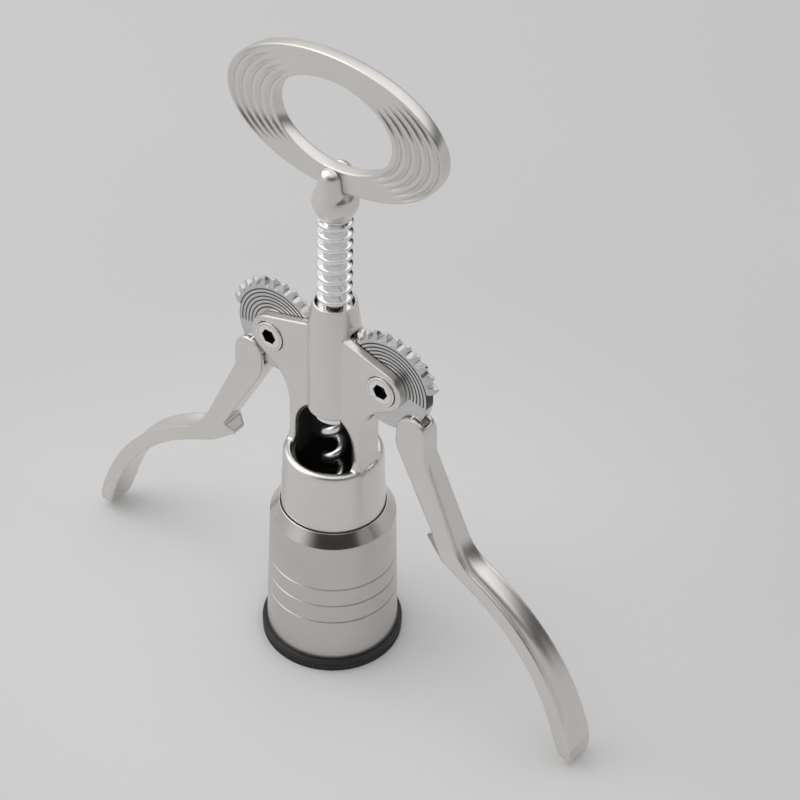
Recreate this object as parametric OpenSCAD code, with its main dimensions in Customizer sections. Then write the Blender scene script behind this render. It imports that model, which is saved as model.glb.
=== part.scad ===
// Wing corkscrew. Two geared levers lift a ring-grooved rack, which carries a turning
// spindle with a worm, a hub and a flat oval handle. A telescopic bell with a rubber
// foot slides on the body's barrel. Millimetres, +Z up, origin on the floor under the
// worm's axis. The levers swing in the XZ plane and their front faces look along -Y.

/* [Neck guide] */
// Radius of the guide's bore, which a bottle's neck enters
neck_r = 15.1; // [14.8:0.1:15.4]
// Wall of the plastic guide around the neck
guide_wall = 1; // [0.8:0.1:1.2]
// Length of the bore below its relief, where the neck is held true
neck_grip = 11.5; // [8:0.5:11.5]
// How much wider the bore is above the neck's grip
neck_relief = 0.3; // [0.2:0.05:0.4]
// How far the guide's lip reaches in over the rim of the neck
neck_stop = 2.2; // [1.8:0.1:2.6]
// Wall of the guide's lip
lip_wall = 1.3; // [1:0.1:1.5]
// Thickness of the guide's upright lining behind the window
lining_wall = 0.7; // [0.5:0.1:0.9]

/* [Barrel] */
// Wall of the barrel around the neck guide
barrel_wall = 1.67; // [1.5:0.01:2]
// How much narrower the barrel is at its shoulder
barrel_taper = 0.8; // [0.4:0.1:1]
// Height at which the barrel starts to taper
barrel_taper_z = 62; // [60:1:66]
// Height of the barrel's lower end
barrel_z = 46.3; // [45:0.1:47]
// Height of the shoulder's flat top
shoulder_z = 79.7; // [78.5:0.1:81]
// Rise of the rim round the window's foot above the shoulder
rim_rise = 2.3; // [1.5:0.1:2.8]
// Width of the rim's top
rim_w = 1.1; // [0.8:0.1:1.4]
// Thickness of the shoulder's floor
floor_t = 3.6; // [3:0.1:4.2]
// Radius of the hollow curve between the shoulder and the upright faces
cove_r = 6; // [4:0.5:7]
// Height of the flange that keeps the barrel in the bell
flange_h = 3.3; // [3:0.1:3.6]
// Thickness of the friction ring's cord
friction_d = 1.6; // [1.4:0.1:1.8]

/* [Bell] */
// Space between the barrel and the inside of the bell
bell_space = 2.2; // [2:0.1:2.6]
// Wall of the bell at its foot
bell_foot_wall = 3; // [2.6:0.1:3.4]
// Wall of the bell where its top chamfer starts
bell_top_wall = 1.5; // [1.3:0.1:2]
// Height of the bell's top edge
bell_z = 58.8; // [58:0.1:60]
// Height of the bell's chamfer
bell_chamfer = 4.4; // [3:0.1:5]
// Length of the narrow collar at the top of the bell
bell_collar = 8.8; // [8.4:0.1:9.2]
// Radial gap between the bell's collar and the barrel
bell_gap = 0.35; // [0.2:0.05:0.5]
// Heights of the lines turned into the bell
bell_line_z = [21.3, 28.8, 36.2];
// Width of each turned line
bell_line_w = 0.7; // [0.4:0.1:1]
// Depth of each turned line
bell_line_d = 0.35; // [0.2:0.05:0.5]

/* [Foot ring] */
// Thickness of rubber outside the bell's foot
foot_wall = 1.65; // [1.3:0.05:2.5]
// Height of the foot ring
foot_h = 4.5; // [4:0.1:5.5]
// Thickness of rubber under the bell
foot_sole = 1.6; // [1.2:0.1:2]
// Thickness of the foot ring's inner lip
foot_lip = 1.5; // [1:0.1:2.5]
// Height of the foot ring's inner lip above its sole
foot_lip_h = 1.5; // [1:0.1:2]

/* [Plate and tube] */
// Half the thickness of the upright plate
plate_half = 5.25; // [5:0.05:5.6]
// Half the width of the plate at its waist
waist_x = 14.6; // [14.2:0.1:15]
// Radius of the curve from the waist to the ears
waist_r = 17; // [13:0.5:20]
// Radius of each ear around its pivot
ear_r = 7.6; // [7.2:0.1:8]
// Fall of the ears' top edges, in degrees
ear_fall = 16; // [12:1:20]
// Angle at which each ear's lower edge leaves its round end, in degrees
ear_under = 60; // [55:1:65]
// Outer radius of the central tube
tube_r = 8.75; // [8.5:0.05:9]
// Outer radius of the tube at its rim
tube_rim_r = 7.15; // [7:0.05:7.5]
// Height of the tube's rim
tube_z = 142.6; // [141:0.1:144]
// Length over which the tube narrows to its rim
tube_taper = 15; // [10:1:20]
// Height of the tube's lower end in the window
tube_low_z = 99.8; // [99:0.1:101]
// Length of the narrow land that guides the rack at the tube's lower end
land_h = 6; // [4:0.5:7]
// How much wider the tube's bore is above its land
bore_relief = 0.55; // [0.4:0.05:0.7]
// Half the width of the window
window_x = 12; // [11.4:0.1:12.4]
// Height of the centre of the window's arched top
window_arch_z = 89.3; // [88:0.1:91]
// Thickness of the plate that closes the window's back
window_back = 1.7; // [1.4:0.1:2]

/* [Gear and rack] */
// Module of the teeth
tooth_m = 1.3; // [1.28:0.01:1.32]
// Teeth that a whole gear would have
tooth_n = 28; // [28:1:28]
// Pressure angle, in degrees
tooth_pa = 20; // [18:1:22]
// Height of a tooth above its pitch line
tooth_add = 1.15; // [1.05:0.05:1.2]
// Depth of a tooth below its pitch line
tooth_ded = 1.45; // [1.35:0.05:1.5]
// Play between meshing teeth, along the pitch line
tooth_play = 0.2; // [0.14:0.02:0.3]
// Thickness of the gear plates
gear_t = 3.5; // [3.2:0.1:3.7]
// Radius of the gear plates where they have no teeth
gear_disc_r = 15.5; // [15:0.1:16]
// Teeth above the level of the pivot, counted round from the rack
teeth_over = 13; // [12:1:13]
// Teeth below the level of the pivot
teeth_under = 3; // [2:1:4]
// Pitch radius of the rack
rack_r = 4.6; // [4.5:0.05:4.7]
// Rings of the rack above the level of the pivots
rings_over = 13; // [12:1:13]
// Rings of the rack below the level of the pivots, the last one joining the plain end
rings_under = 3; // [3:1:3]

/* [Levers] */
// Height of the lever pivots
pivot_z = 120.05; // [119.5:0.05:121]
// Thickness of the arms at their heads
arm_head_t = 7.2; // [7:0.1:8]
// Lean of each face of the arms, which widens them towards their tips, in degrees
arm_flare = 1.75; // [1:0.25:2]
// Distance from the pivot to the centre of the arm's round head
head_reach = 16.9; // [16.4:0.1:17.2]
// Angle below the horizontal from the pivot to the arm's head, in degrees
head_angle = 50.2; // [49:0.2:51]
// Radius of the arm's round head
head_r = 5.7; // [5.4:0.1:5.9]
// Slope of the leg's outer edge, in degrees
leg_slope = 65.4; // [64:0.2:67]
// Slope of the grip where it leaves the knee, in degrees
grip_slope = 26.7; // [25:0.2:28]
// Slope of the grip at its tip, in degrees
tip_slope = 69; // [67:0.5:71]
// Thickness of the curved grip
grip_t = 5.5; // [5:0.1:6]
// Radius of the grip's underside
grip_bend_r = 74; // [68:1:80]
// Distance between a lever's tip and the worm's axis
tip_x = 104.6; // [103:0.1:106]
// Height of the levers' tips above the floor
tip_z = 2; // [1:0.5:3]
// Distance from the pivot out to the ledge at the knee
ledge_out = 21.8; // [21:0.1:22.5]
// Distance from the pivot down to the ledge at the knee
ledge_down = 49.1; // [48:0.1:50]
// Depth of the trough along the leg's outer edge
trough_d = 1.3; // [1:0.1:1.6]
// Radius of the trough
trough_r = 8.5; // [7.5:0.1:10]
// Depth of the hollow along the grip's outer face
hollow_d = 0.6; // [0.3:0.1:0.8]
// Radius of the hollow's section
hollow_r = 24; // [20:1:30]
// Radius of the pins that hold each arm to its gear
lever_pin_r = 1; // [0.8:0.1:1.1]
// Thickness of the teeth at their tips
tooth_edge = 0.9; // [0.6:0.1:1.4]

/* [Pivots] */
// Radius of the pivot screw's head
screw_head_r = 5.3; // [5:0.05:5.5]
// Thickness of the pivot screw's head
screw_head_t = 2; // [1.9:0.1:2.2]
// How far the pivot heads stand proud of the plate
screw_proud = 0.4; // [0.3:0.05:0.5]
// Radius of the pivot screw's thread
screw_r = 1.5; // [1.3:0.1:1.8]
// Length of the pivot screw's thread
screw_len = 6; // [5:0.5:6.5]
// Hexagon socket, across its flats
socket_af = 5; // [4:0.5:5.5]
// Depth of the hexagon socket
socket_d = 1.8; // [1.4:0.1:1.85]
// Outer radius of the pivot sleeve that the gear turns on
sleeve_r = 2.9; // [2.7:0.1:3.2]

/* [Spindle and worm] */
// Radius of the spindle
spindle_r = 2.2; // [2.1:0.05:2.25]
// Height of the spindle's upper end, inside the hub
spindle_top_z = 184.6; // [183.5:0.1:185]
// Radius of the spindle's foot, which carries the rack
spindle_foot_r = 3; // [2.8:0.1:3.4]
// Height of the spindle's foot
spindle_foot_h = 2.4; // [2:0.1:2.8]
// Height of the rack's lower end
rack_low_z = 95.8; // [95:0.1:96.5]
// Outer radius of the stop collar on the rack
stop_r = 6.25; // [6.15:0.05:6.4]
// Radius of the rack's plain end inside the stop collar
stop_seat_r = 4.6; // [4.2:0.1:5]
// Radius of the worm's wire
worm_wire_r = 1.6; // [1.4:0.05:1.65]
// Radius from the axis to the middle of the worm's wire
worm_r = 2.8; // [2.6:0.05:2.9]
// Pitch of the worm
worm_pitch = 11.3; // [11:0.1:11.4]
// Turns of the worm
worm_turns = 3.25; // [3:0.05:3.25]

/* [Hub and handle] */
// Height of the hub's lower face
hub_z = 175.6; // [175.4:0.1:176]
// Radius of the hub's lower end
hub_low_r = 5.75; // [5.6:0.05:5.8]
// Largest radius of the hub
hub_r = 7.45; // [7.2:0.05:7.7]
// Height of the hub from its lower face to its widest place
hub_belly = 5; // [4.6:0.1:5.4]
// Radius of the hub's two jaws at their foot
jaw_low_r = 5.6; // [5.2:0.1:5.9]
// Radius of the hub's two jaws at their round tops
jaw_top_r = 4.1; // [3.8:0.1:4.3]
// Thickness of the washer between the hub and the rack
washer_t = 0.5; // [0.4:0.05:0.55]
// Radius of the pin that locks the hub to the spindle
hub_pin_r = 0.9; // [0.7:0.1:1]
// Half the width of the handle
handle_a = 40.7; // [38:0.1:43]
// Half the height of the handle
handle_b = 22.9; // [22:0.1:24]
// Half the width of the handle's hole
hole_a = 22.4; // [20:0.1:24]
// Half the height of the handle's hole
hole_b = 15.1; // [14.5:0.1:15.5]
// How far the hole's centre lies below the handle's centre
hole_drop = 0.6; // [0:0.1:1]
// Thickness of the handle
handle_t = 4.45; // [4:0.05:4.9]
// How far the handle's lower edge stands above the hub's widest place
handle_lift = 5.7; // [5.2:0.1:6]

/* [Fits] */
// Radial clearance of a turning or sliding fit
run_fit = 0.05; // [0.03:0.01:0.08]
// Clearance of a piece that is fixed in its seat
seat_fit = 0.03; // [0.02:0.01:0.05]
// Gap beside each gear in the slots of the body and of the arms
side_gap = 0.15; // [0.1:0.01:0.2]
// Gap at a stop when the part stands at rest
stop_gap = 0.3; // [0.2:0.05:0.4]
// Radial gap between the gears' teeth and the ends of their slots
tip_gap = 0.55; // [0.4:0.05:0.7]

/* [Hidden] */
$fn = 96;

// Small overlap that keeps cuts and unions clean
eps = 0.02;
// Longer overshoot for cuts that leave the material
past = 2;
// Degrees between neighbouring points on a rounded outline
arc_step = 7.5;

pitch = PI * tooth_m;
gear_r = tooth_m * tooth_n / 2;
gear_tip_r = gear_r + tooth_add;
gear_root_r = gear_r - tooth_ded;
gear_base_r = gear_r * cos(tooth_pa);
tooth_step = 360 / tooth_n;
pivot_x = gear_r + rack_r;
rack_tip_r = rack_r + tooth_add;
rack_root_r = rack_r - tooth_ded;
rack_tooth = (pitch - tooth_play) / 2;
rack_top_z = pivot_z + rings_over * pitch + pitch / 2;
rack_plain_z = pivot_z - rings_under * pitch;
stop_top_z = tube_low_z - stop_gap;
land_r = rack_tip_r + run_fit + 0.05;
tube_bore_r = land_r + bore_relief;

slot_half = gear_t / 2 + side_gap;
body_slot_r = gear_tip_r + tip_gap;
arm_slot_r = gear_disc_r + 2.2;
head_t = screw_head_t - screw_proud;
sleeve_half = plate_half - head_t;

barrel_bore_r = neck_r + guide_wall + seat_fit;
barrel_r = barrel_bore_r + barrel_wall;
barrel_top_r = barrel_r - barrel_taper;
bell_bore_r = barrel_r + bell_space;
bell_foot_r = bell_bore_r + bell_foot_wall;
bell_top_r = bell_bore_r + bell_top_wall;
foot_r = bell_foot_r + foot_wall;
foot_hole_r = bell_bore_r - foot_lip;
neck_stop_r = neck_r - neck_stop;
shoulder_hole_r = neck_stop_r + lip_wall;
shoulder_low_z = shoulder_z - floor_t;
flange_r = bell_bore_r - 0.3;
flange_z = barrel_z + flange_h;
friction_seat_r = bell_bore_r - run_fit - friction_d - seat_fit;
collar_low_z = bell_z - bell_collar;
window_depth = plate_half - window_back;
niche_r = tube_r - 1.35;

hub_wide_z = hub_z + hub_belly;
handle_low_z = hub_wide_z + handle_lift;
handle_z = handle_low_z + handle_b;
hole_z = handle_z - hole_drop;
jaw_top_z = hole_z - hole_b - jaw_top_r + 0.2;
hub_pin_z = hub_z + 3.4;

worm_top_z = rack_low_z;

function unit(v) = v / norm(v);

// Arc that rounds the corner b, between a and c, with radius r
function corner(a, b, c, r) =
    let (
        u = unit(a - b),
        v = unit(c - b),
        half = acos(u * v) / 2,
        o = b + unit(u + v) * r / sin(half),
        p = b + u * r / tan(half) - o,
        q = b + v * r / tan(half) - o,
        start = atan2(p.y, p.x),
        turn = atan2(q.y, q.x) - start,
        sweep = turn > 180 ? turn - 360 : turn < -180 ? turn + 360 : turn,
        n = max(2, ceil(abs(sweep) / arc_step))
    )
    r == 0 ? [b] : [for (i = [0:n]) o + r * [cos(start + sweep * i / n), sin(start + sweep * i / n)]];

// Outline through corners given as [x, z, radius]
function rounded(c) =
    let (n = len(c))
    [for (i = [0:n - 1])
        let (a = c[(i + n - 1) % n], b = c[i], d = c[(i + 1) % n])
        each corner([a.x, a.y], [b.x, b.y], [d.x, d.y], b.z)];

// Where the line through p along u crosses the line through q along v
function cross_2d(u, v) = u.x * v.y - u.y * v.x;
function meet(p, u, q, v) = p + u * cross_2d(q - p, v) / cross_2d(u, v);

function ellipse(a, b, n) = [for (i = [0:n - 1]) [a * cos(360 * i / n), b * sin(360 * i / n)]];

// Extrudes a drawing in the XZ plane from y = low to y = high
module upright(low, high) {
    translate([0, high, 0])
        rotate([90, 0, 0])
            linear_extrude(high - low)
                children();
}

// Cylinder along +Y from y = low to y = high, at (x, z)
module bar_y(x, z, r, low, high) {
    translate([x, low, z])
        rotate([-90, 0, 0])
            cylinder(r = r, h = high - low);
}

module both_sides() {
    children();
    mirror([1, 0, 0])
        children();
}

// ---- Body ----

// Right half of the plate's outline, out to the ear
module plate_half_2d() {
    pivot = [pivot_x, pivot_z];
    top = pivot + ear_r * [sin(ear_fall), cos(ear_fall)];
    under = pivot + ear_r * [cos(ear_under), -sin(ear_under)];
    under_dir = [-sin(ear_under), -cos(ear_under)];
    waist = meet(under, under_dir, [waist_x, 0], [0, 1]);
    foot_x = sqrt(pow(barrel_top_r, 2) - pow(plate_half, 2)) - 0.1;
    polygon(rounded([
        [-1, top.y + (top.x + 1) * tan(ear_fall), 0],
        [top.x, top.y, 0],
        [pivot.x, pivot.y, 0],
        [under.x, under.y, 0],
        [waist.x, waist.y, waist_r],
        [waist_x, shoulder_z + cove_r, cove_r],
        [foot_x, shoulder_z - 0.5, 0],
        [foot_x, shoulder_low_z + 1, 0],
        [-1, shoulder_low_z + 1, 0]
    ]));
    translate(pivot)
        circle(r = ear_r);
}

// Outline of the window, made smaller by inset
module window_2d(inset) {
    half = window_x - inset;
    translate([0, window_arch_z])
        circle(r = half);
    translate([-half, shoulder_low_z + 1])
        square([2 * half, window_arch_z - shoulder_low_z - 1]);
}

// Turned barrel with its flange, shoulder floor and friction ring's groove
module barrel() {
    groove_z = barrel_z + flange_h / 2;
    rotate_extrude()
        difference() {
            polygon([
                [barrel_bore_r, barrel_z],
                [flange_r, barrel_z],
                [flange_r, flange_z],
                [barrel_r, flange_z],
                [barrel_r, barrel_taper_z],
                [barrel_top_r, shoulder_z - 0.9],
                for (i = [0:6])
                    [
                        shoulder_hole_r + rim_w + (barrel_top_r - shoulder_hole_r - rim_w) * cos(15 * i),
                        shoulder_z + rim_rise * sin(15 * i)
                    ],
                [shoulder_hole_r, shoulder_z + rim_rise],
                [shoulder_hole_r, shoulder_low_z],
                [barrel_bore_r, shoulder_low_z]
            ]);
            translate([friction_seat_r, groove_z - friction_d / 2 - seat_fit])
                square([friction_d, friction_d + 2 * seat_fit]);
        }
}

// Hollow curves that carry the shoulder up into the plate, front and back
module coves() {
    intersection() {
        translate([0, 0, shoulder_z - 1])
            cylinder(r = barrel_top_r - 0.7, h = cove_r + 1);
        for (side = [-1, 1])
            difference() {
                translate([-waist_x, side * (plate_half + cove_r / 2) - cove_r / 2 - eps, shoulder_z - 1])
                    cube([2 * waist_x, cove_r + 2 * eps, cove_r + 1]);
                translate([-waist_x - 1, side * (plate_half + cove_r), shoulder_z + cove_r])
                    rotate([0, 90, 0])
                        cylinder(r = cove_r, h = 2 * waist_x + 2);
            }
    }
}

// Outside of the tube, from the window to its narrowing rim
module tube_outside() {
    taper_z = tube_z - tube_taper;
    rotate_extrude()
        polygon([
            [0, tube_low_z],
            [tube_r, tube_low_z],
            [tube_r, taper_z],
            for (i = [1:8])
                [tube_r - (tube_r - tube_rim_r) * pow(i / 8, 2), taper_z + tube_taper * i / 8],
            [0, tube_z]
        ]);
}

// Room behind the window: a flat-backed pocket with a round niche for the rack
module window_room() {
    difference() {
        union() {
            upright(-plate_half - past, window_depth)
                window_2d(0);
            translate([0, 0, shoulder_low_z + 1])
                cylinder(r = niche_r, h = tube_low_z - shoulder_low_z - 1 + eps);
        }
        translate([-window_x, -barrel_r, shoulder_low_z])
            cube([2 * window_x, 2 * barrel_r, floor_t]);
    }
    translate([0, 0, shoulder_low_z])
        cylinder(r = shoulder_hole_r, h = floor_t + seat_fit);
    intersection() {
        translate([0, 0, shoulder_z - eps])
            cylinder(r = shoulder_hole_r, h = cove_r + past);
        translate([-window_x, -barrel_r, shoulder_z - eps])
            cube([2 * window_x, barrel_r, cove_r + past]);
    }
}

module body() {
    color([0.73, 0.72, 0.71])
        difference() {
            union() {
                difference() {
                    union() {
                        upright(-plate_half, plate_half)
                            both_sides()
                                plate_half_2d();
                        barrel();
                        coves();
                        intersection() {
                            translate([0, 0, shoulder_z])
                                cylinder(r = shoulder_hole_r + rim_w / 2, h = rim_rise);
                            translate([-barrel_r, plate_half - eps, shoulder_z])
                                cube([2 * barrel_r, barrel_r, rim_rise]);
                        }
                        intersection() {
                            translate([0, 0, shoulder_low_z + 1])
                                cylinder(r = tube_r, h = tube_low_z - shoulder_low_z);
                            translate([-tube_r, 0, shoulder_low_z])
                                cube([2 * tube_r, tube_r, tube_low_z]);
                        }
                    }
                    window_room();
                }
                tube_outside();
            }
            translate([0, 0, tube_low_z - past])
                cylinder(r = land_r, h = land_h + 2 * past);
            translate([0, 0, tube_low_z + land_h])
                cylinder(r = tube_bore_r, h = tube_z);
            both_sides() {
                bar_y(pivot_x, pivot_z, body_slot_r, -slot_half, slot_half);
                bar_y(pivot_x, pivot_z, sleeve_r + seat_fit, -plate_half - past, plate_half + past);
                bar_y(pivot_x, pivot_z, screw_head_r + 0.15, -plate_half - past, -sleeve_half);
                bar_y(pivot_x, pivot_z, screw_head_r + 0.15, sleeve_half, plate_half + past);
            }
        }
}

// Black plastic guide: a cup for the bottle's neck and a lining for the window's room
module neck_guide() {
    relief_z = barrel_z + neck_grip;
    outer_r = neck_r + guide_wall;
    color([0.03, 0.03, 0.03]) {
        rotate_extrude()
            polygon([
                [neck_r, barrel_z],
                [outer_r, barrel_z],
                [outer_r, shoulder_low_z - seat_fit],
                [shoulder_hole_r - seat_fit, shoulder_low_z - seat_fit],
                [shoulder_hole_r - seat_fit, shoulder_z],
                [neck_stop_r, shoulder_z],
                [neck_stop_r, shoulder_low_z - 1.2],
                [neck_r + neck_relief, shoulder_low_z - 1.2],
                [neck_r + neck_relief, relief_z],
                [neck_r, relief_z]
            ]);
        intersection() {
            union() {
                difference() {
                    upright(-plate_half + 0.5, window_depth - seat_fit)
                        difference() {
                            window_2d(seat_fit);
                            window_2d(lining_wall);
                        }
                    cylinder(r = niche_r - lining_wall, h = tube_z);
                }
                difference() {
                    upright(window_depth - lining_wall, window_depth - seat_fit)
                        window_2d(seat_fit);
                    cylinder(r = niche_r - lining_wall, h = tube_z);
                }
                difference() {
                    cylinder(r = niche_r - seat_fit, h = tube_low_z - 0.2);
                    cylinder(r = niche_r - lining_wall, h = tube_low_z);
                    translate([-tube_r, window_depth - lining_wall - 2 * tube_r, 0])
                        cube([2 * tube_r, 2 * tube_r, tube_z]);
                }
            }
            translate([-window_x, -barrel_r, shoulder_z - eps])
                cube([2 * window_x, 2 * barrel_r, tube_low_z - 0.2 - shoulder_z]);
        }
        intersection() {
            translate([0, 0, shoulder_low_z])
                cylinder(r = shoulder_hole_r - seat_fit, h = shoulder_z - shoulder_low_z);
            both_sides()
                translate([window_x - lining_wall, 0.5 - plate_half, shoulder_low_z])
                    cube([shoulder_hole_r, window_depth - lining_wall + plate_half, floor_t]);
        }
    }
}

// Rubber ring in the flange, which holds the bell where it is put
module friction_ring() {
    color([0.05, 0.05, 0.05])
        translate([0, 0, barrel_z + flange_h / 2])
            rotate_extrude()
                translate([bell_bore_r - run_fit - friction_d / 2, 0])
                    circle(r = friction_d / 2, $fn = 24);
}

// Sleeves that the gears turn on, each with a round head at the back
module pivot_sleeves() {
    color([0.7, 0.7, 0.7])
        both_sides()
            difference() {
                union() {
                    bar_y(pivot_x, pivot_z, sleeve_r, -sleeve_half, sleeve_half + eps);
                    bar_y(pivot_x, pivot_z, screw_head_r, sleeve_half, plate_half + screw_proud);
                }
                bar_y(pivot_x, pivot_z, screw_r + seat_fit, -sleeve_half - past, screw_len - sleeve_half + 0.5);
            }
}

// Hexagon-socket screws that close the sleeves at the front
module pivot_screws() {
    front = plate_half + screw_proud;
    color([0.72, 0.72, 0.72])
        both_sides()
            difference() {
                union() {
                    bar_y(pivot_x, pivot_z, screw_head_r, -front, -sleeve_half);
                    bar_y(pivot_x, pivot_z, screw_r, -sleeve_half - eps, screw_len - sleeve_half);
                }
                translate([pivot_x, -front - past, pivot_z])
                    rotate([-90, 0, 0])
                        cylinder(r = socket_af / sqrt(3), h = socket_d + past, $fn = 6);
            }
}

// ---- Bell ----

module bell() {
    taper_z = bell_z - bell_chamfer;
    collar_r = barrel_r + bell_gap;
    color([0.66, 0.65, 0.64])
        rotate_extrude()
            difference() {
                polygon([
                    [bell_bore_r, foot_sole],
                    [bell_foot_r, foot_sole],
                    [bell_foot_r, foot_h],
                    [bell_top_r, taper_z],
                    [collar_r + 0.35, bell_z],
                    [collar_r, bell_z],
                    [collar_r, collar_low_z],
                    [bell_bore_r, collar_low_z]
                ]);
                for (z = bell_line_z) {
                    slope = (bell_foot_r - bell_top_r) / (taper_z - foot_h);
                    translate([bell_foot_r - slope * (z - foot_h), z])
                        polygon([
                            [-bell_line_d, 0],
                            [1, -bell_line_w / 2 - 1],
                            [1, bell_line_w / 2 + 1]
                        ]);
                }
            }
}

// Rubber ring round the bell's foot: a sole, an outer bead and an inner lip
module foot_ring() {
    bead = 0.9;
    color([0.04, 0.04, 0.045])
        rotate_extrude()
            polygon([
                [foot_hole_r, 0],
                [foot_r - 0.3, 0],
                [foot_r, 0.3],
                [foot_r, foot_h - bead],
                [foot_r - 0.25, foot_h - bead / 3],
                [foot_r - bead, foot_h],
                [bell_foot_r + seat_fit, foot_h],
                [bell_foot_r + seat_fit, foot_sole],
                [bell_bore_r - seat_fit, foot_sole],
                [bell_bore_r - seat_fit, foot_sole + foot_lip_h],
                [foot_hole_r, foot_sole + foot_lip_h]
            ]);
}

// ---- Rack ----

// Sleeve with ring teeth over the gears' reach and a plain lower end
module rack() {
    tip = rack_tooth / 2 - tooth_add * tan(tooth_pa);
    root = rack_tooth / 2 + tooth_ded * tan(tooth_pa);
    foot_seat_z = rack_low_z + spindle_foot_h + run_fit;
    color([0.82, 0.82, 0.83])
        rotate_extrude()
            polygon([
                [spindle_r + run_fit, foot_seat_z],
                [spindle_foot_r + run_fit, foot_seat_z],
                [spindle_foot_r + run_fit, rack_low_z],
                [stop_seat_r, rack_low_z],
                [stop_seat_r, stop_top_z],
                [rack_tip_r, stop_top_z],
                [rack_tip_r, rack_plain_z + tip],
                [rack_root_r, rack_plain_z + root],
                for (k = [1 - rings_under:rings_over])
                    let (z = pivot_z + k * pitch)
                    each [
                        [rack_root_r, z - root],
                        [rack_tip_r, z - tip],
                        [rack_tip_r, z + tip],
                        [rack_root_r, z + root]
                    ],
                [rack_root_r, hub_z - washer_t - run_fit],
                [spindle_r + run_fit, hub_z - washer_t - run_fit]
            ]);
}

// Collar that meets the tube's lower end and ends the levers' fall
module stop_collar() {
    edge = 0.5;
    color([0.8, 0.8, 0.8])
        rotate_extrude()
            polygon([
                [stop_seat_r + seat_fit, rack_low_z],
                [stop_r - edge, rack_low_z],
                [stop_r, rack_low_z + edge],
                [stop_r, stop_top_z - 0.05],
                [stop_seat_r + seat_fit, stop_top_z - 0.05]
            ]);
}

module thrust_washer() {
    color([0.75, 0.75, 0.75])
        translate([0, 0, hub_z - washer_t])
            difference() {
                cylinder(r = hub_low_r - 0.3, h = washer_t - eps);
                translate([0, 0, -past])
                    cylinder(r = spindle_r + run_fit, h = washer_t + 2 * past);
            }
}

// ---- Spindle, worm, hub and handle ----

module spindle() {
    color([0.8, 0.8, 0.8])
        difference() {
            union() {
                translate([0, 0, worm_top_z])
                    cylinder(r = spindle_foot_r, h = spindle_foot_h);
                translate([0, 0, worm_top_z])
                    cylinder(r = spindle_r, h = spindle_top_z - worm_top_z);
            }
            bar_y(0, hub_pin_z, hub_pin_r + seat_fit, -past * 2, past * 2);
        }
}

// Turns over which the wire moves out to its full radius, and over which it comes to its point
worm_lead_in = 0.12;
worm_point = 0.45;
worm_sides = 8;
worm_rings = 60;
// Where the wire leaves the spindle's foot: its angle, its distance from the axis and
// how far it falls below the foot while it bends
worm_start = 64.8;
worm_start_r = 1.2;
worm_bend = 1.7;

// The middle of the worm's wire after t turns, the wire's radius there and its fall
function worm_lead(t) = min(1, t / worm_lead_in);
function worm_arm(t) = worm_start_r + (worm_r - worm_start_r) * (1 - cos(180 * worm_lead(t))) / 2;
function worm_slide(t) = t < worm_lead_in ? t * t / (2 * worm_lead_in) : t - worm_lead_in / 2;
function worm_drop(t) = worm_bend * sin(90 * worm_lead(t)) + worm_pitch * worm_slide(t);
function worm_wire(t) = worm_wire_r * min(1, 0.12 + 0.88 * (worm_turns - t) / worm_point);
function worm_at(t) =
    let (a = worm_start - 360 * t)
    [worm_arm(t) * cos(a), worm_arm(t) * sin(a), worm_top_z - worm_drop(t)];

// Corners of the wire's section after t turns
function worm_ring(t) =
    let (
        d = 0.01,
        along = t < d ? [0, 0, -1] : unit(worm_at(t + d) - worm_at(t - d)),
        side = unit(cross(along, [cos(worm_start - 360 * t), sin(worm_start - 360 * t), 0])),
        up = cross(side, along)
    )
    [for (i = [0:worm_sides - 1])
        worm_at(t) + worm_wire(t) * (side * cos(360 * i / worm_sides) + up * sin(360 * i / worm_sides))];

module worm() {
    points = [for (i = [0:worm_rings]) each worm_ring(worm_turns * i / worm_rings)];
    sides = [for (i = [0:worm_rings - 1]) for (j = [0:worm_sides - 1])
        let (
            a = i * worm_sides + j,
            b = i * worm_sides + (j + 1) % worm_sides,
            c = a + worm_sides,
            d = b + worm_sides
        )
        each [[a, b, d], [a, d, c]]];
    last = worm_rings * worm_sides;
    caps = [
        [for (j = [worm_sides - 1:-1:0]) j],
        [for (j = [0:worm_sides - 1]) last + j]
    ];
    color([0.85, 0.85, 0.86])
        polyhedron(points, concat(sides, caps));
}

// Turned belly with two jaws that hold the handle from the front and the back
module hub() {
    jaw_low_z = hub_wide_z - 1;
    color([0.75, 0.74, 0.73])
        difference() {
            union() {
                rotate_extrude()
                    polygon([
                        [0, hub_z],
                        [hub_low_r, hub_z],
                        [hub_low_r, hub_z + 0.6],
                        for (i = [1:6])
                            [hub_low_r + (hub_r - hub_low_r) * sin(15 * i),
                                hub_z + 0.6 + (hub_belly - 0.6) * i / 6],
                        for (i = [1:6])
                            [hub_r * cos(12.5 * i), hub_wide_z + (handle_lift - 0.1) * sin(15 * i)],
                        [0, handle_low_z - 0.1]
                    ]);
                for (side = [-1, 1])
                    translate([0, side * handle_t / 2, 0])
                        intersection() {
                            union() {
                                translate([0, 0, jaw_low_z])
                                    cylinder(r1 = jaw_low_r, r2 = jaw_top_r, h = jaw_top_z - jaw_low_z);
                                translate([0, 0, jaw_top_z])
                                    sphere(r = jaw_top_r);
                            }
                            translate([-hub_r, side * hub_r / 2 - hub_r / 2, hub_z])
                                cube([2 * hub_r, hub_r, handle_b]);
                        }
            }
            translate([-hub_r - past, -handle_t / 2 - seat_fit, handle_low_z - seat_fit])
                cube([2 * (hub_r + past), handle_t + 2 * seat_fit, handle_b]);
            translate([0, 0, hub_z - past])
                cylinder(r = spindle_r + seat_fit, h = spindle_top_z - hub_z + past + 0.1);
            bar_y(0, hub_pin_z, hub_pin_r + seat_fit, -spindle_r - 1.3, hub_r + past);
        }
}

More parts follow.
